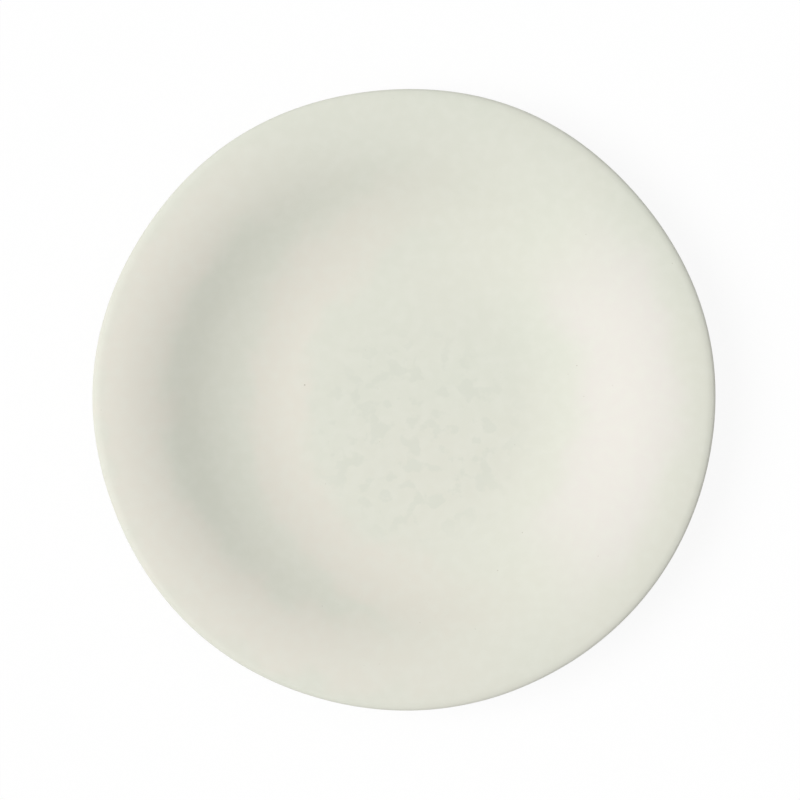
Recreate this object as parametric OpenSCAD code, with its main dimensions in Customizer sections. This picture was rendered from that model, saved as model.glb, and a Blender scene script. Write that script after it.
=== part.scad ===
// Coupe dinner plate: a turned stoneware body under a skin of satin glaze.
// Each section is drawn as radius and height above the table, and turned round the Z axis.

/* [Plate] */
// Diameter over the finished edge
plate_d = 270; // [240:1:300]
// Finished thickness of the wall, with the glaze on both sides
wall_t = 5.2; // [4.2:0.1:6.5]
// Slope of the wall at its steepest, in degrees
wall_angle = 27; // [18:1:32]

/* [Rim] */
// Width of the rolled edge, from the outermost edge in to the crest
roll_w = 7; // [6:0.5:10]
// How far the rolled edge turns down, in degrees
roll_angle = 2; // [1:1:12]
// Width of the shoulder, from the crest in to the straight of the wall
shoulder_w = 28.5; // [22:0.5:36]
// Radius of the soft rounding above and below the lip
lip_soft_r = 7.5; // [4:0.5:9]
// How far that rounding turns on to the tighter nose of the lip, in degrees
lip_soft_angle = 21; // [12:1:25]

/* [Well] */
// Width of the straight of the wall
straight_w = 6.5; // [3:0.5:12]
// Width of the curve from the straight of the wall in to the flat floor
curve_w = 43; // [36:1:50]

/* [Foot ring] */
// How far the resting face reaches past the edge of the flat floor
foot_out = 26; // [20:1:30]
// Width of the flat resting face
foot_face_w = 4.5; // [3:0.5:7]
// Height of the clay inside the ring above the table
foot_h = 4; // [3.2:0.1:6]
// Lean of the ring's flanks, in degrees
foot_draft = 12; // [6:1:18]
// Radius of the rounding along the resting face
foot_edge_r = 0.8; // [0.5:0.1:1.2]
// Radius of the fillet between the ring and the underside
foot_fillet_r = 1.6; // [1:0.1:2.2]

/* [Glaze] */
// Thickness of the glaze
glaze_t = 0.45; // [0.3:0.05:0.6]
// Width of the flank left bare between the rounding and the glaze
wiped_w = 0.4; // [0.2:0.1:0.8]

/* [Hidden] */
clay_colour = "#d2c4ab";
glaze_colour = "#e0e2d5";

// Steps along each arc of a section, and round the axis
arc_steps = 12;
$fn = 180;

// Radii where the stretches of the face begin and end
crest_r = plate_d / 2 - roll_w;
floor_r = crest_r - shoulder_w - straight_w - curve_w;
foot_r = floor_r + foot_out;

// Radii of the arcs of the finished face, out to the nose of the lip and the roll from the crest down to it
well_arc_r = curve_w / sin(wall_angle);
shoulder_arc_r = shoulder_w / sin(wall_angle);
nose_r = lip_soft_r - (lip_soft_r - wall_t / 2) / cos(lip_soft_angle);
lip_reach = nose_r + (lip_soft_r - nose_r) * sin(roll_angle + lip_soft_angle);
roll_arc_r = lip_soft_r + (roll_w - lip_reach) / sin(roll_angle);

// Heights of the finished floor, of the wall's outer end and of the crest
floor_z = foot_h + wall_t - glaze_t;
wall_z = floor_z + well_arc_r * (1 - cos(wall_angle)) + straight_w * tan(wall_angle);
crest_z = wall_z + shoulder_arc_r * (1 - cos(wall_angle));

// Centres of those arcs, and the direction in which the roll ends
well_c = [floor_r, floor_z + well_arc_r];
shoulder_c = [crest_r, crest_z - shoulder_arc_r];
roll_c = [crest_r, crest_z - roll_arc_r];
roll_end = 90 - roll_angle;
lip_top_c = on_circle(roll_c, roll_arc_r - lip_soft_r, roll_end);
lip_under_c = on_circle(roll_c, roll_arc_r - wall_t + lip_soft_r, roll_end);
nose_c = on_circle(lip_top_c, lip_soft_r - nose_r, roll_end - lip_soft_angle);

// Where the fillets end on the flanks, measured up from the rounding: the outer one runs into the well's
// underside, the inner one into the flat ceiling of the recess
underside_r = well_arc_r + wall_t - glaze_t;
outer_start = flank(1, 0, foot_fillet_r) - well_c;
outer_fall = outer_start * flank_up(1);
outer_reach = underside_r + foot_fillet_r;
outer_up = -outer_fall - sqrt(outer_fall ^ 2 - outer_start * outer_start + outer_reach ^ 2);
inner_up = (foot_h - foot_fillet_r - flank(-1, 0, foot_fillet_r).y) / cos(foot_draft);
outer_fillet_c = flank(1, outer_up, foot_fillet_r);
inner_fillet_c = flank(-1, inner_up, foot_fillet_r);
// Slope of the underside where the outer fillet meets it
landing = atan2(outer_fillet_c.x - well_c.x, well_c.y - outer_fillet_c.y);

function on_circle(centre, r, angle) = centre + r * [cos(angle), sin(angle)];

// Points along an arc, without the end point where the next arc begins there
function arc(centre, r, from, to, joined = false) =
    [for (i = [0 : arc_steps - (joined ? 1 : 0)]) on_circle(centre, r, from + (to - from) * i / arc_steps)];

function reversed(points) = [for (i = [len(points) - 1 : -1 : 0]) points[i]];

// The ring's flanks: side is 1 for the outer one and -1 for the inner one
function flank_up(side) = [side * sin(foot_draft), cos(foot_draft)];
function flank_out(side) = [side * cos(foot_draft), -sin(foot_draft)];
function edge_c(side) = [side > 0 ? foot_r : foot_r - foot_face_w, foot_edge_r];
function flank(side, up, out) = edge_c(side) + (foot_edge_r + out) * flank_out(side) + up * flank_up(side);
// Where the glaze ends on the clay
function glaze_line(side) = flank(side, wiped_w, 0);

// The outer coat's surface at a depth below the finished one: from the axis out over the face, round the lip,
// back along the underside and down the fillet of the foot ring
function outer_surface(depth) = concat(
    [[0, floor_z - depth]],
    arc(well_c, well_arc_r + depth, -90, wall_angle - 90),
    arc(shoulder_c, shoulder_arc_r - depth, 90 + wall_angle, 90, joined = true),
    arc(roll_c, roll_arc_r - depth, 90, roll_end, joined = true),
    arc(lip_top_c, lip_soft_r - depth, roll_end, roll_end - lip_soft_angle, joined = true),
    arc(nose_c, nose_r - depth, roll_end - lip_soft_angle, roll_end + lip_soft_angle - 180, joined = true),
    arc(lip_under_c, lip_soft_r - depth, roll_end + lip_soft_angle - 180, roll_end - 180, joined = true),
    arc(roll_c, roll_arc_r - wall_t + depth, roll_end, 90, joined = true),
    arc(shoulder_c, shoulder_arc_r - wall_t + depth, 90, 90 + wall_angle),
    arc(well_c, well_arc_r + wall_t - depth, wall_angle - 90, landing - 90, joined = true),
    arc(outer_fillet_c, foot_fillet_r - glaze_t + depth, 90 + landing, 180 - foot_draft)
);

// The recess inside the ring in the same way, from the fillet in to the axis
function base_surface(depth) = concat(
    arc(inner_fillet_c, foot_fillet_r - glaze_t + depth, foot_draft, 90),
    [[0, foot_h - glaze_t + depth]]
);

// The rounded edge in which the glaze ends on a flank, from its finished surface down to the clay
function bead(side) =
    let (towards = side > 0 ? 0 : 180, from = towards - side * foot_draft)
    concat(
        arc(flank(side, wiped_w + glaze_t, 0), glaze_t, from, from - side * 90, joined = true),
        [glaze_line(side)]
    );

// The clay body with its foot ring
module stoneware_body() {
    color(clay_colour)
        rotate_extrude()
            polygon(concat(
                outer_surface(glaze_t),
                [glaze_line(1)],
                arc(edge_c(1), foot_edge_r, -foot_draft, -90),
                arc(edge_c(-1), foot_edge_r, -90, foot_draft - 180),
                [glaze_line(-1)],
                base_surface(glaze_t)
            ));
}

// The glaze over the face, the edge and the underside
module outer_glaze() {
    color(glaze_colour)
        rotate_extrude()
            polygon(concat(outer_surface(0), bead(1), reversed(outer_surface(glaze_t))));
}

// The glaze inside the foot ring
module base_glaze() {
    color(glaze_colour)
        rotate_extrude()
            polygon(concat(reversed(bead(-1)), base_surface(0), reversed(base_surface(glaze_t))));
}

stoneware_body();
outer_glaze();
base_glaze();
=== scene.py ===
"""Coupe dinner plate: the glazed stoneware's looks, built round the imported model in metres."""

import math

import bpy
import numpy as np
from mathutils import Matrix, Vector, noise


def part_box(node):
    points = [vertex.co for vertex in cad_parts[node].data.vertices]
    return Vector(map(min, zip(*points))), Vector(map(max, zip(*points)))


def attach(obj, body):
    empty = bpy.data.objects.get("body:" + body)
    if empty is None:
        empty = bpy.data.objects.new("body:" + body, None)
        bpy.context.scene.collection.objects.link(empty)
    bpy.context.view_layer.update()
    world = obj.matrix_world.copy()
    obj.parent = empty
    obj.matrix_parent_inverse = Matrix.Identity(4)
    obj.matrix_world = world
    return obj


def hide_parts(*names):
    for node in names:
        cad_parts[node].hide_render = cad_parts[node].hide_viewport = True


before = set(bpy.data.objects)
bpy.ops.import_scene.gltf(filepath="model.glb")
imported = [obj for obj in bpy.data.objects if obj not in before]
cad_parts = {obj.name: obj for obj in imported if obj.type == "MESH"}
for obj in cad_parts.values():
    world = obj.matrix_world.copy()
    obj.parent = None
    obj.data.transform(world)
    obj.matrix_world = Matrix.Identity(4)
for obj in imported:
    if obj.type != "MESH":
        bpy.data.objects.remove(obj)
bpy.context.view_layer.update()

MM = 0.001

# The plate's section, as radius and height: the widths lie one inside the other from the edge
PLATE_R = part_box("outer_glaze")[1].x
WALL_T = 5.2 * MM
WALL_ANGLE = 27
ROLL_W = 7 * MM
ROLL_ANGLE = 2
SHOULDER_W = 28.5 * MM
LIP_SOFT_R = 7.5 * MM
LIP_SOFT_ANGLE = 21
STRAIGHT_W = 6.5 * MM
CURVE_W = 43 * MM
FOOT_OUT = 26 * MM
FOOT_FACE_W = 4.5 * MM
FOOT_H = 4 * MM
FOOT_DRAFT = 12
FOOT_EDGE_R = 0.8 * MM
FOOT_FILLET_R = 1.6 * MM
GLAZE_T = 0.45 * MM
WIPED_W = 0.4 * MM

# How finely the surfaces are divided: round the axis, along the broad stretches, where the clay hides under
# the glaze, round the edge and round the glaze's bead. Every arc has a least number of steps, and points
# closer than the last value count as one
TURN_STEPS = 320
BROAD_STEP = 2 * MM
HIDDEN_STEP = 4 * MM
FINE_STEP = 0.35 * MM
BEAD_STEP = 0.09 * MM
LEAST_ARC_STEPS = 4
SAME_POINT = 0.0001 * MM

# What the hand and the kiln leave: waves of the outline as count, height and direction, a slight saddle of
# the rim, soft unevenness of the glaze, its pool in the fillets of the foot and the waver of its wiped edge
OUTLINE_WAVES = (
    (2, 0.06 * MM, 53),
    (3, 0.10 * MM, -44),
    (4, 0.10 * MM, -13),
    (5, 0.10 * MM, 7),
    (6, 0.18 * MM, 3),
    (7, 0.26 * MM, 18),
)
SADDLE_H = 0.25 * MM
SADDLE_DIRECTION = 35
UNEVEN_H = 0.04 * MM
UNEVEN_SIZE = 22 * MM
POOL_H = 0.18 * MM
POOL_SIZE = 9 * MM
WAVER_H = 0.2 * MM
WAVER_SIZE = 6 * MM

# The stretches of a noise's values over which it fades in, from soft to firm
NOISE_BOUNDS = (0.3, 0.7)
CLOUD_BOUNDS = (0.35, 0.65)
MOTTLE_BOUNDS = (0.4, 0.7)
PATCH_BOUNDS = (0.51, 0.60)

# Spots: their full core as a share of their radius, and the share of the kept cells that are full
SPOT_CORE_SHARE = 0.4
SPOT_FULL_SHARE = 0.9

# The glaze, with linear colours: clouded from cool to warm, warmer towards the bottom and a little to the
# left, mottled, and sparsely flecked with iron. The warm colour also serves the painted warm light in the
# arcs below
GLAZE_COOL = (0.720, 0.740, 0.646)
GLAZE_WARM = (0.774, 0.745, 0.660)
# Paler, whiter colour of the painted highlight on the right wall
GLAZE_PAINTED_HIGHLIGHT = (0.772, 0.740, 0.692)
GLAZE_PALE = (0.780, 0.788, 0.706)
GLAZE_DEEP = (0.672, 0.692, 0.604)
GLAZE_SPECK = (0.30, 0.25, 0.17)
CLOUD_SIZE = 70 * MM
CLOUD_SHARE = 0.25
WARM_TREND_DIRECTION = 255
WARM_TREND_SHARE = 0.2
MOTTLE_SIZE = 5 * MM
MOTTLE_SHARE = 0.35
GLAZE_DETAIL = 3
FLECK_CELL = 6 * MM
FLECK_R = 0.32 * MM
FLECK_KEPT_SHARE = 0.25
FLECK_SHARE = 0.3
PEEL_SIZE = 1.2 * MM
PEEL_DEPTH = 0.02 * MM
GLAZE_GRAIN_SIZE = 2.5 * MM
GLAZE_ROUGHNESS = (0.68, 0.76)

# Painted light in soft arcs: painted warm light that follows the shading on the left, and a painted
# highlight on the right wall, each as its middle, radius, half width, direction, half extent in degrees and
# colour
PAINTED_LIGHT_ARCS = (
    # Painted warm light on the rim and inside the wall on the left, in the warm glaze colour
    ((-7 * MM, 0), 112 * MM, 20 * MM, 200, 105, GLAZE_WARM),
    ((33 * MM, 0), 90 * MM, 18 * MM, 190, 102, GLAZE_WARM),
    # Painted highlight on the right wall, in a paler, whiter colour
    ((0, 0), 98 * MM, 30 * MM, 357, 54, GLAZE_PAINTED_HIGHLIGHT),
)
PAINTED_ARC_SHARE = 0.9
PAINTED_ARC_FADE_SHARE = 0.6
PAINTED_ARC_WANDER = 5 * MM
PAINTED_ARC_WANDER_SIZE = 18 * MM

# Deeper patches that thin out from the middle of the floor, where the glaze lies thickest
PATCH_MIDDLE = (5 * MM, -16 * MM)
PATCHED_R = 56 * MM
PATCHED_FULL_SHARE = 0.55
PATCH_SIZE = 8 * MM
PATCH_SHARE = 0.48

# Iron specks that show on the face, as place and radius
SPECKS = (
    ((-44 * MM, 6.5 * MM), 0.45 * MM),
    ((76 * MM, 15 * MM), 0.3 * MM),
    ((52 * MM, -58.5 * MM), 0.3 * MM),
    ((41 * MM, -75 * MM), 0.3 * MM),
    ((116 * MM, 59 * MM), 0.35 * MM),
)
SPECK_SHARE = 0.55

# The bare clay, with linear colours: buff, toasted beside the glaze, with dark grog and a dry tooth
CLAY_PALE = (0.62, 0.52, 0.37)
CLAY_DARK = (0.50, 0.39, 0.26)
CLAY_TOAST = (0.40, 0.24, 0.12)
CLAY_GROG = (0.16, 0.10, 0.06)
CLAY_CLOUD_SIZE = 18 * MM
CLAY_DETAIL = 4
TOAST_LOW = 0.15 * MM
TOAST_HIGH = 1.0 * MM
TOAST_SHARE = 0.75
GROG_CELL = 1.6 * MM
GROG_R = 0.35 * MM
GROG_KEPT_SHARE = 0.35
TOOTH_SIZE = 0.5 * MM
TOOTH_DEPTH = 0.08 * MM
TOOTH_COARSENESS = 0.65
CLAY_ROUGHNESS = 0.88

# The light: a dome that is brightest overhead and a broad soft key from the left, over a floor that keeps
# a light shadow, before a white background
WHITE = (1.0, 1.0, 1.0)
BACKGROUND_STRENGTH = 1.0
FLOOR_COLOUR = (0.88, 0.88, 0.88)
FLOOR_HALF = 3.0
SHADOW_SHARE = 0.10
DOME_HORIZON = 0.10
DOME_ZENITH = 0.69
KEY_ENERGY = 1.94
KEY_SPREAD = 36
KEY_AZIMUTH = 179.5
KEY_ELEVATION = 50

# The camera looks straight down, a little off the plate's centre
LENS = 100
CAMERA_X = -1.86 * MM
CAMERA_Y = -0.155 * MM
SENSOR_W = 36
FRAME_PX = 800
PLATE_PX = 310.96

# The colour sockets of a Mix node
MIX_FIRST = 6
MIX_SECOND = 7
MIX_RESULT = 2


# Section of the plate

def polar(centre, r, degrees):
    """The point, or the points, at a radius and an angle about a centre."""
    angle = np.radians(degrees)
    across = np.multiply.outer(np.cos(angle), (r, 0))
    up = np.multiply.outer(np.sin(angle), (0, r))
    return np.array(centre) + across + up


def arc(centre, r, start, end, step):
    """Points along an arc, both ends included."""
    length = abs(math.radians(end - start)) * r
    steps = max(LEAST_ARC_STEPS, math.ceil(length / step))
    return polar(centre, r, np.linspace(start, end, steps + 1))


def line(start, end, step):
    """Points along a straight stretch, both ends included."""
    return np.linspace(start, end, math.ceil(math.dist(start, end) / step) + 1)


def path(*stretches):
    """The stretches as one line of points, each shared end kept once."""
    points = [stretches[0][0]]
    for stretch in stretches:
        for point in stretch:
            if math.dist(point[:2], points[-1][:2]) > SAME_POINT:
                points.append(point)
    return np.array(points)


# Radii, heights and centres of the arcs, which follow from the widths and slopes
sin_wall, cos_wall, tan_wall = (f(math.radians(WALL_ANGLE)) for f in (math.sin, math.cos, math.tan))
sin_draft, cos_draft = math.sin(math.radians(FOOT_DRAFT)), math.cos(math.radians(FOOT_DRAFT))

crest_r = PLATE_R - ROLL_W
floor_r = crest_r - SHOULDER_W - STRAIGHT_W - CURVE_W
foot_r = floor_r + FOOT_OUT
well_arc_r = CURVE_W / sin_wall
shoulder_arc_r = SHOULDER_W / sin_wall
nose_r = LIP_SOFT_R - (LIP_SOFT_R - WALL_T / 2) / math.cos(math.radians(LIP_SOFT_ANGLE))
lip_reach = nose_r + (LIP_SOFT_R - nose_r) * math.sin(math.radians(ROLL_ANGLE + LIP_SOFT_ANGLE))
roll_arc_r = LIP_SOFT_R + (ROLL_W - lip_reach) / math.sin(math.radians(ROLL_ANGLE))
floor_z = FOOT_H + WALL_T - GLAZE_T
wall_z = floor_z + well_arc_r * (1 - cos_wall) + STRAIGHT_W * tan_wall
crest_z = wall_z + shoulder_arc_r * (1 - cos_wall)
well_c = (floor_r, floor_z + well_arc_r)
shoulder_c = (crest_r, crest_z - shoulder_arc_r)
roll_c = (crest_r, crest_z - roll_arc_r)
roll_end = 90 - ROLL_ANGLE
lip_top_c = polar(roll_c, roll_arc_r - LIP_SOFT_R, roll_end)
lip_under_c = polar(roll_c, roll_arc_r - WALL_T + LIP_SOFT_R, roll_end)
nose_c = polar(lip_top_c, LIP_SOFT_R - nose_r, roll_end - LIP_SOFT_ANGLE)


def flank_up(side):
    """The way up the foot ring's outer (1) or inner (-1) flank."""
    return np.array((side * sin_draft, cos_draft))


def flank(side, up, out):
    """A point on a flank, up it from the rounding and out from it."""
    corner = np.array((foot_r if side > 0 else foot_r - FOOT_FACE_W, FOOT_EDGE_R))
    square = np.array((side * cos_draft, -sin_draft))
    return corner + (FOOT_EDGE_R + out) * square + up * flank_up(side)


# Where the fillets end on the flanks, and the slope of the underside where the outer one meets it
fillet_start = flank(1, 0, FOOT_FILLET_R) - well_c
fillet_fall = fillet_start @ flank_up(1)
fillet_reach = well_arc_r + WALL_T - GLAZE_T + FOOT_FILLET_R
outer_up = -fillet_fall - math.sqrt(fillet_fall ** 2 - fillet_start @ fillet_start + fillet_reach ** 2)
outer_fillet_c = flank(1, outer_up, FOOT_FILLET_R)
inner_up = (FOOT_H - FOOT_FILLET_R - flank(-1, 0, FOOT_FILLET_R)[1]) / cos_draft
inner_fillet_c = flank(-1, inner_up, FOOT_FILLET_R)
landing = math.degrees(math.atan2(outer_fillet_c[0] - well_c[0], well_c[1] - outer_fillet_c[1]))


def outer_skin(depth, step):
    """The coat's surface at a depth under the finished one: face, lip, and underside to the fillet."""
    under = WALL_T - depth
    nose_top, nose_under = roll_end - LIP_SOFT_ANGLE, roll_end + LIP_SOFT_ANGLE - 180
    face_well = arc(well_c, well_arc_r + depth, -90, WALL_ANGLE - 90, step)
    face_shoulder = arc(shoulder_c, shoulder_arc_r - depth, 90 + WALL_ANGLE, 90, step)
    back_shoulder = arc(shoulder_c, shoulder_arc_r - under, 90, 90 + WALL_ANGLE, step)
    back_well = arc(well_c, well_arc_r + under, WALL_ANGLE - 90, landing - 90, step)
    return path(
        line((0, floor_z - depth), face_well[0], step),
        face_well,
        line(face_well[-1], face_shoulder[0], step),
        face_shoulder,
        arc(roll_c, roll_arc_r - depth, 90, roll_end, step / 2),
        arc(lip_top_c, LIP_SOFT_R - depth, roll_end, nose_top, FINE_STEP),
        arc(nose_c, nose_r - depth, nose_top, nose_under, FINE_STEP),
        arc(lip_under_c, LIP_SOFT_R - depth, nose_under, roll_end - 180, FINE_STEP),
        arc(roll_c, roll_arc_r - under, roll_end, 90, step / 2),
        back_shoulder,
        line(back_shoulder[-1], back_well[0], step),
        back_well,
    )


def face_height(r):
    """Height of the finished face at a radius."""
    face = outer_skin(0, BROAD_STEP)
    face = face[:np.argmax(face[:, 0]) + 1]
    return np.interp(r, face[:, 0], face[:, 1])


def outer_fillet(depth):
    """The fillet from the underside to the outer flank, at a depth under the finished surface."""
    r = FOOT_FILLET_R - GLAZE_T + depth
    return arc(outer_fillet_c, r, 90 + landing, 180 - FOOT_DRAFT, FINE_STEP)


def inner_fillet(depth):
    """The fillet from the inner flank to the recess, in the same way."""
    return arc(inner_fillet_c, FOOT_FILLET_R - GLAZE_T + depth, FOOT_DRAFT, 90, FINE_STEP)


def recess(depth, step):
    """The flat ceiling inside the foot ring, from the fillet in to the axis."""
    ceiling = FOOT_H - GLAZE_T + depth
    return line((inner_fillet_c[0], ceiling), (0, ceiling), step)


def glazed_flank(side):
    """The glaze's surface down a flank, from the fillet to the bead."""
    top = outer_up if side > 0 else inner_up
    return line(flank(side, top, GLAZE_T), flank(side, WIPED_W + GLAZE_T, GLAZE_T), FINE_STEP)


def bead(side):
    """The rounded edge in which the glaze ends on a flank, from its finished surface to the clay."""
    first = -FOOT_DRAFT if side > 0 else 180 + FOOT_DRAFT
    return arc(flank(side, WIPED_W + GLAZE_T, 0), GLAZE_T, first, first - side * 90, BEAD_STEP)


def marked(points, uneven=0.0, pool=0.0, waver=0.0):
    """Section points with their shares of the glaze's unevenness, pool and waver."""
    shares = [np.broadcast_to(share, len(points)) for share in (uneven, pool, waver)]
    return np.column_stack((points, *shares))


def rising(points):
    """Shares from 0 to 1 along the points."""
    return np.linspace(0, 1, len(points))


def humped(points):
    """Shares that swell from 0 to 1 and sink again along the points."""
    return np.sin(math.pi * rising(points)) ** 2


# Turning a section into a mesh

turns = np.linspace(0, 2 * math.pi, TURN_STEPS, endpoint=False)


def about_axis(r, z):
    """Section values turned about the axis: one row for each section point, one column for each turn."""
    x = np.outer(r, np.cos(turns))
    y = np.outer(r, np.sin(turns))
    return np.stack((x, y, np.outer(z, np.ones(TURN_STEPS))), -1)


def soft_noise(points, size):
    """Noise from -1 to 1 at each point, in patches of about the given size."""
    flat = points.reshape(-1, 3) / size
    return np.array([noise.noise(Vector(point)) for point in flat]).reshape(points.shape[:-1])


def outward(section):
    """Unit normals of a closed section that runs out along its top."""
    along = np.roll(section, -1, 0) - np.roll(section, 1, 0)
    return np.stack((-along[:, 1], along[:, 0]), 1) / np.linalg.norm(along, axis=1)[:, None]


def glazed(section, points):
    """The turned points with the glaze's unevenness, pool in the fillet and waver of its edge."""
    r, _, uneven, pool, waver = section.T
    proud = UNEVEN_H * uneven[:, None] * soft_noise(points, UNEVEN_SIZE)
    proud += POOL_H * pool[:, None] * (1 + soft_noise(points, POOL_SIZE))
    moved = points + proud[..., None] * about_axis(*outward(section[:, :2]).T)
    # The side of the foot ring that the edge is on, each with a waver of its own
    side = np.sign(r[waver > 0].mean() - foot_r + FOOT_FACE_W / 2)
    shift = WAVER_H * soft_noise(about_axis([foot_r], [side * WAVER_SIZE]), WAVER_SIZE)
    return moved + np.outer(waver, shift)[..., None] * about_axis(*flank_up(side)[:, None])


def settled(points):
    """The shape after the kiln: the outline a little off round and the rim a little off level."""
    r = np.hypot(points[..., 0], points[..., 1])
    turn = np.arctan2(points[..., 1], points[..., 0])
    share = np.clip((r - foot_r) / (PLATE_R - foot_r), 0, 1) ** 2
    grow = share * sum(h * np.cos(n * (turn - math.radians(to))) for n, h, to in OUTLINE_WAVES)
    lift = share * SADDLE_H * np.cos(2 * (turn - math.radians(SADDLE_DIRECTION)))
    return points + np.stack((grow * np.cos(turn), grow * np.sin(turn), lift), -1)


def turned(name, section, material, has_glaze):
    """A closed solid of revolution whose section starts and ends on the axis."""
    points = about_axis(section[:, 0], section[:, 1])
    if has_glaze:
        points = glazed(section, points)
    points = settled(points)
    last = len(section) - 1
    rows = np.arange(1, TURN_STEPS * (last - 1) + 1).reshape(last - 1, TURN_STEPS)
    corners = [points[0, 0], *points[1:last].reshape(-1, 3), points[last, 0]]
    ahead = np.roll(rows, -1, 1)
    faces = np.stack((rows[:-1], rows[1:], ahead[1:], ahead[:-1]), -1).reshape(-1, 4).tolist()
    faces += [(0, here, there) for here, there in zip(rows[0].tolist(), ahead[0].tolist())]
    end = len(corners) - 1
    faces += [(end, there, here) for here, there in zip(rows[-1].tolist(), ahead[-1].tolist())]
    mesh = bpy.data.meshes.new(name)
    mesh.from_pydata([tuple(corner) for corner in corners], [], faces)
    mesh.polygons.foreach_set("use_smooth", [True] * len(faces))
    mesh.materials.append(material)
    mesh.update()
    piece = bpy.data.objects.new(name, mesh)
    bpy.context.scene.collection.objects.link(piece)
    return piece


# Materials

def shader(name):
    """A new material with its nodes and its surface shader."""
    material = bpy.data.materials.new(name)
    material.use_nodes = True
    tree = material.node_tree
    return material, tree, tree.nodes["Principled BSDF"]


def node(tree, kind, **values):
    """A node with its properties and, by name, its inputs set."""
    made = tree.nodes.new(kind)
    for key, value in values.items():
        if hasattr(made, key):
            setattr(made, key, value)
        else:
            made.inputs[key.replace("_", " ")].default_value = value
    return made


def place(tree):
    """Where a point of the plate is, in metres."""
    return node(tree, "ShaderNodeTexCoord").outputs["Object"]


def noise_at(tree, where, size, detail=2.0, roughness=0.5):
    """Noise from 0 to 1 in patches of about the given size."""
    made = node(tree, "ShaderNodeTexNoise", Scale=1 / size, Detail=detail, Roughness=roughness)
    tree.links.new(where, made.inputs["Vector"])
    return made.outputs["Fac"]


def ramp(tree, value, low, high, start=0.0, end=1.0, course="LINEAR"):
    """value mapped from low..high to start..end."""
    made = node(tree, "ShaderNodeMapRange", From_Min=low, From_Max=high, To_Min=start, To_Max=end)
    made.interpolation_type = course
    tree.links.new(value, made.inputs["Value"])
    return made.outputs["Result"]


def combined(tree, operation, first, second):
    """Two outputs worked into one value."""
    made = node(tree, "ShaderNodeMath", operation=operation)
    tree.links.new(first, made.inputs[0])
    tree.links.new(second, made.inputs[1])
    return made.outputs[0]


def vector_math(tree, operation, first, second):
    """An output's vector worked with a fixed second one, as the node's outputs."""
    made = node(tree, "ShaderNodeVectorMath", operation=operation)
    tree.links.new(first, made.inputs[0])
    made.inputs[1].default_value = second
    return made.outputs


def level(direction):
    """The level unit vector that points in a direction."""
    return (*polar((0, 0), 1, direction), 0)


def mixed(tree, share, first, second):
    """Two colours, each a tuple or an output, mixed by an output."""
    made = node(tree, "ShaderNodeMix", data_type="RGBA")
    tree.links.new(share, made.inputs["Factor"])
    for socket, colour in ((made.inputs[MIX_FIRST], first), (made.inputs[MIX_SECOND], second)):
        if isinstance(colour, tuple):
            socket.default_value = (*colour, 1)
        else:
            tree.links.new(colour, socket)
    return made.outputs[MIX_RESULT]


def scattered(tree, where, cell, kept, radius, share):
    """Round spots at the middles of some cells, as a share that fades out to their radius."""
    made = node(tree, "ShaderNodeTexVoronoi", Scale=1 / cell)
    tree.links.new(where, made.inputs["Vector"])
    parts = node(tree, "ShaderNodeSeparateColor")
    tree.links.new(made.outputs["Color"], parts.inputs["Color"])
    chosen = ramp(tree, parts.outputs["Red"], kept, kept * SPOT_FULL_SHARE)
    edge = radius / cell
    near = ramp(tree, made.outputs["Distance"], edge, edge * SPOT_CORE_SHARE, 0, share)
    return combined(tree, "MULTIPLY", chosen, near)


def placed(tree, where, spots, share):
    """Round spots at given places on the face, as a share that fades out to their radius."""
    total = None
    for (x, y), radius in spots:
        away = vector_math(tree, "DISTANCE", where, (x, y, face_height(math.hypot(x, y))))["Value"]
        near = ramp(tree, away, radius, radius * SPOT_CORE_SHARE, 0, share)
        total = near if total is None else combined(tree, "MAXIMUM", total, near)
    return total


def with_painted_light(tree, where, colour):
    """The colour with its soft arcs of painted light, whose edges wander a little."""
    wander = noise_at(tree, where, PAINTED_ARC_WANDER_SIZE)
    wander = ramp(tree, wander, *NOISE_BOUNDS, -PAINTED_ARC_WANDER, PAINTED_ARC_WANDER)
    flat = vector_math(tree, "MULTIPLY", where, (1, 1, 0))["Vector"]
    for middle, radius, half_width, direction, half_extent, arc_colour in PAINTED_LIGHT_ARCS:
        away = vector_math(tree, "SUBTRACT", flat, (*middle, 0))["Vector"]
        length = vector_math(tree, "LENGTH", away, (0, 0, 0))["Value"]
        distance = combined(tree, "ADD", length, wander)
        fade_w = half_width * PAINTED_ARC_FADE_SHARE
        near, far = radius - half_width, radius + half_width
        rise = ramp(tree, distance, near, near + fade_w, course="SMOOTHSTEP")
        fall = ramp(tree, distance, far, far - fade_w, course="SMOOTHSTEP")
        heading = vector_math(tree, "NORMALIZE", away, (0, 0, 0))["Vector"]
        cosine = vector_math(tree, "DOT_PRODUCT", heading, level(direction))["Value"]
        faded = math.cos(math.radians(half_extent))
        full = math.cos(math.radians(half_extent * (1 - PAINTED_ARC_FADE_SHARE)))
        facing = ramp(tree, cosine, faded, full, 0, PAINTED_ARC_SHARE, "SMOOTHSTEP")
        share = combined(tree, "MULTIPLY", combined(tree, "MINIMUM", rise, fall), facing)
        colour = mixed(tree, share, colour, arc_colour)
    return colour


def patched(tree, where, colour):
    """The colour with deeper patches in the middle of the floor."""
    away = vector_math(tree, "DISTANCE", where, (*PATCH_MIDDLE, floor_z))["Value"]
    inside = ramp(tree, away, PATCHED_R, PATCHED_R * PATCHED_FULL_SHARE, 0, PATCH_SHARE, "SMOOTHSTEP")
    patches = noise_at(tree, where, PATCH_SIZE, GLAZE_DETAIL)
    patches = ramp(tree, patches, *PATCH_BOUNDS, course="SMOOTHSTEP")
    return mixed(tree, combined(tree, "MULTIPLY", patches, inside), colour, GLAZE_DEEP)


def bumped(tree, surface, height, depth):
    """Gives the surface a relief of the given depth."""
    made = node(tree, "ShaderNodeBump", Distance=depth)
    tree.links.new(height, made.inputs["Height"])
    tree.links.new(made.outputs["Normal"], surface.inputs["Normal"])


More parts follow.
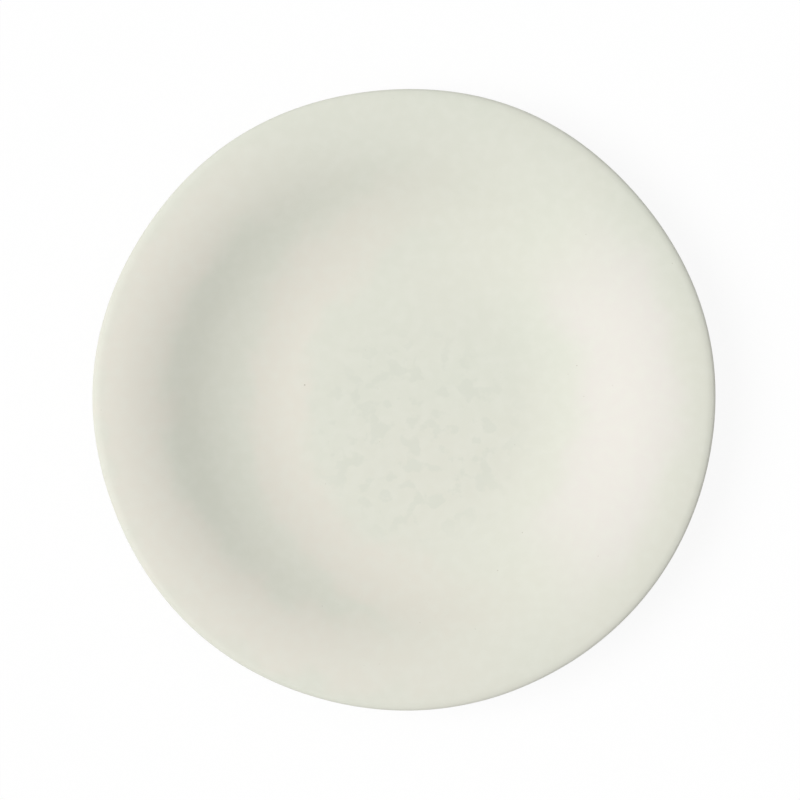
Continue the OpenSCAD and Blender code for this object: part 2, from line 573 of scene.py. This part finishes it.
def glaze_material():
    """Satin off-white glaze: clouded, with arcs of painted light, mottled, patched on the floor, with a few
    iron specks.
    """
    material, tree, surface = shader("satin_glaze")
    where = place(tree)
    cloud = ramp(tree, noise_at(tree, where, CLOUD_SIZE), *CLOUD_BOUNDS, 0, CLOUD_SHARE)
    # Warmer towards the bottom of the plate and a little to the left
    towards_warm_trend = vector_math(tree, "DOT_PRODUCT", where, level(WARM_TREND_DIRECTION))["Value"]
    warm_trend = ramp(tree, towards_warm_trend, -PLATE_R, PLATE_R, 0, WARM_TREND_SHARE)
    colour = mixed(tree, combined(tree, "ADD", cloud, warm_trend), GLAZE_COOL, GLAZE_WARM)
    # Painted light: warm arcs on the left side and a paler painted highlight on the right wall
    colour = with_painted_light(tree, where, colour)
    mottle = noise_at(tree, where, MOTTLE_SIZE, GLAZE_DETAIL)
    mottle = ramp(tree, mottle, *MOTTLE_BOUNDS, 0, MOTTLE_SHARE)
    colour = mixed(tree, mottle, colour, GLAZE_PALE)
    colour = patched(tree, where, colour)
    flecks = scattered(tree, where, FLECK_CELL, FLECK_KEPT_SHARE, FLECK_R, FLECK_SHARE)
    iron = combined(tree, "MAXIMUM", flecks, placed(tree, where, SPECKS, SPECK_SHARE))
    colour = mixed(tree, iron, colour, GLAZE_SPECK)
    tree.links.new(colour, surface.inputs["Base Color"])
    grain = noise_at(tree, where, GLAZE_GRAIN_SIZE, GLAZE_DETAIL)
    grain = ramp(tree, grain, *NOISE_BOUNDS, *GLAZE_ROUGHNESS)
    tree.links.new(grain, surface.inputs["Roughness"])
    bumped(tree, surface, noise_at(tree, where, PEEL_SIZE), PEEL_DEPTH)
    return material


def clay_material():
    """Bare fired clay: buff, toasted beside the glaze, with dark grog and a dry tooth."""
    material, tree, surface = shader("bare_stoneware")
    where = place(tree)
    cloud = ramp(tree, noise_at(tree, where, CLAY_CLOUD_SIZE, CLAY_DETAIL), *NOISE_BOUNDS)
    colour = mixed(tree, cloud, CLAY_PALE, CLAY_DARK)
    parts = node(tree, "ShaderNodeSeparateXYZ")
    tree.links.new(where, parts.inputs["Vector"])
    toast = ramp(tree, parts.outputs["Z"], TOAST_LOW, TOAST_HIGH, 0, TOAST_SHARE)
    colour = mixed(tree, toast, colour, CLAY_TOAST)
    grog = scattered(tree, where, GROG_CELL, GROG_KEPT_SHARE, GROG_R, 1)
    colour = mixed(tree, grog, colour, CLAY_GROG)
    tree.links.new(colour, surface.inputs["Base Color"])
    surface.inputs["Roughness"].default_value = CLAY_ROUGHNESS
    tooth = noise_at(tree, where, TOOTH_SIZE, CLAY_DETAIL, TOOTH_COARSENESS)
    bumped(tree, surface, tooth, TOOTH_DEPTH)
    return material


def seen_by(tree):
    """1 for camera, glossy and transmission rays."""
    rays = node(tree, "ShaderNodeLightPath").outputs
    shining = combined(tree, "MAXIMUM", rays["Is Glossy Ray"], rays["Is Transmission Ray"])
    return combined(tree, "MAXIMUM", rays["Is Camera Ray"], shining)


def floor_material():
    """A pale floor that shows white and keeps a light shadow."""
    material, tree, surface = shader("pale_floor")
    surface.inputs["Base Color"].default_value = (*FLOOR_COLOUR, 1)
    surface.inputs["Roughness"].default_value = 1.0
    surface.inputs["Specular IOR Level"].default_value = 0.0
    shade = node(tree, "ShaderNodeBsdfDiffuse", Color=(SHADOW_SHARE, SHADOW_SHARE, SHADOW_SHARE, 1))
    glow = node(tree, "ShaderNodeEmission", Strength=1 - SHADOW_SHARE)
    seen = node(tree, "ShaderNodeAddShader")
    tree.links.new(shade.outputs[0], seen.inputs[0])
    tree.links.new(glow.outputs[0], seen.inputs[1])
    either = node(tree, "ShaderNodeMixShader")
    tree.links.new(seen_by(tree), either.inputs[0])
    tree.links.new(surface.outputs[0], either.inputs[1])
    tree.links.new(seen.outputs[0], either.inputs[2])
    tree.links.new(either.outputs[0], tree.nodes["Material Output"].inputs["Surface"])
    return material


# Pieces

glaze = glaze_material()
clay = clay_material()

clay_skin = path(outer_skin(GLAZE_T, HIDDEN_STEP), outer_fillet(GLAZE_T))
clay_recess = path(inner_fillet(GLAZE_T), recess(GLAZE_T, HIDDEN_STEP))

coat_section = path(
    marked(outer_skin(0, BROAD_STEP), uneven=1),
    marked(outer_fillet(0), uneven=1, pool=humped(outer_fillet(0))),
    marked(glazed_flank(1), uneven=1 - rising(glazed_flank(1)), waver=rising(glazed_flank(1))),
    marked(bead(1), waver=1),
    marked(clay_skin[::-1]),
)
coat = turned("outer_glaze_coat", coat_section, glaze, True)

base_section = path(
    marked(clay_recess[::-1]),
    marked(bead(-1)[::-1], waver=1),
    marked(glazed_flank(-1)[::-1], uneven=rising(glazed_flank(-1)), waver=1 - rising(glazed_flank(-1))),
    marked(inner_fillet(0), uneven=1, pool=humped(inner_fillet(0))),
    marked(recess(0, BROAD_STEP), uneven=1),
)
base = turned("base_glaze_field", base_section, glaze, True)

body_section = path(
    clay_skin,
    line(flank(1, outer_up, 0), flank(1, 0, 0), FINE_STEP),
    arc((foot_r, FOOT_EDGE_R), FOOT_EDGE_R, -FOOT_DRAFT, -90, FINE_STEP / 2),
    line((foot_r, 0), (foot_r - FOOT_FACE_W, 0), FINE_STEP),
    arc((foot_r - FOOT_FACE_W, FOOT_EDGE_R), FOOT_EDGE_R, -90, FOOT_DRAFT - 180, FINE_STEP / 2),
    line(flank(-1, 0, 0), flank(-1, inner_up, 0), FINE_STEP),
    clay_recess,
)
body = turned("stoneware_clay", body_section, clay, False)

for piece, cad_node, slot in (
    (coat, "outer_glaze", "glaze"),
    (base, "base_glaze", "glaze"),
    (body, "stoneware_body", "stoneware"),
):
    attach(piece, "root")
    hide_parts(cad_node)

# Floor, light and camera

floor_mesh = bpy.data.meshes.new("floor")
corners = [(x * FLOOR_HALF, y * FLOOR_HALF, 0) for x, y in ((-1, -1), (1, -1), (1, 1), (-1, 1))]
floor_mesh.from_pydata(corners, [], [(0, 1, 2, 3)])
floor_mesh.materials.append(floor_material())
floor = bpy.data.objects.new("floor", floor_mesh)
bpy.context.scene.collection.objects.link(floor)

scene = bpy.context.scene
world = bpy.data.worlds.new("studio")
scene.world = world
world.use_nodes = True
tree = world.node_tree
dome = tree.nodes["Background"]
dome.inputs["Color"].default_value = (*WHITE, 1)
upward = node(tree, "ShaderNodeSeparateXYZ")
tree.links.new(node(tree, "ShaderNodeTexCoord").outputs["Generated"], upward.inputs["Vector"])
overhead = ramp(tree, upward.outputs["Z"], 0, 1, DOME_HORIZON, DOME_ZENITH)
strength = node(tree, "ShaderNodeMix", B=BACKGROUND_STRENGTH)
tree.links.new(seen_by(tree), strength.inputs["Factor"])
tree.links.new(overhead, strength.inputs["A"])
tree.links.new(strength.outputs["Result"], dome.inputs["Strength"])

key_light = bpy.data.lights.new("key", "SUN")
key_light.energy = KEY_ENERGY
key_light.angle = math.radians(KEY_SPREAD)
key = bpy.data.objects.new("key", key_light)
key.rotation_euler = (0, math.radians(90 - KEY_ELEVATION), math.radians(KEY_AZIMUTH))
scene.collection.objects.link(key)

camera_data = bpy.data.cameras.new("camera")
camera_data.lens = LENS
camera_data.sensor_width = SENSOR_W
camera = bpy.data.objects.new("camera", camera_data)
distance = FRAME_PX * LENS / SENSOR_W * PLATE_R / PLATE_PX
camera.location = (CAMERA_X, CAMERA_Y, nose_c[1] + distance)
scene.collection.objects.link(camera)
scene.camera = camera

scene.view_settings.view_transform = "Standard"
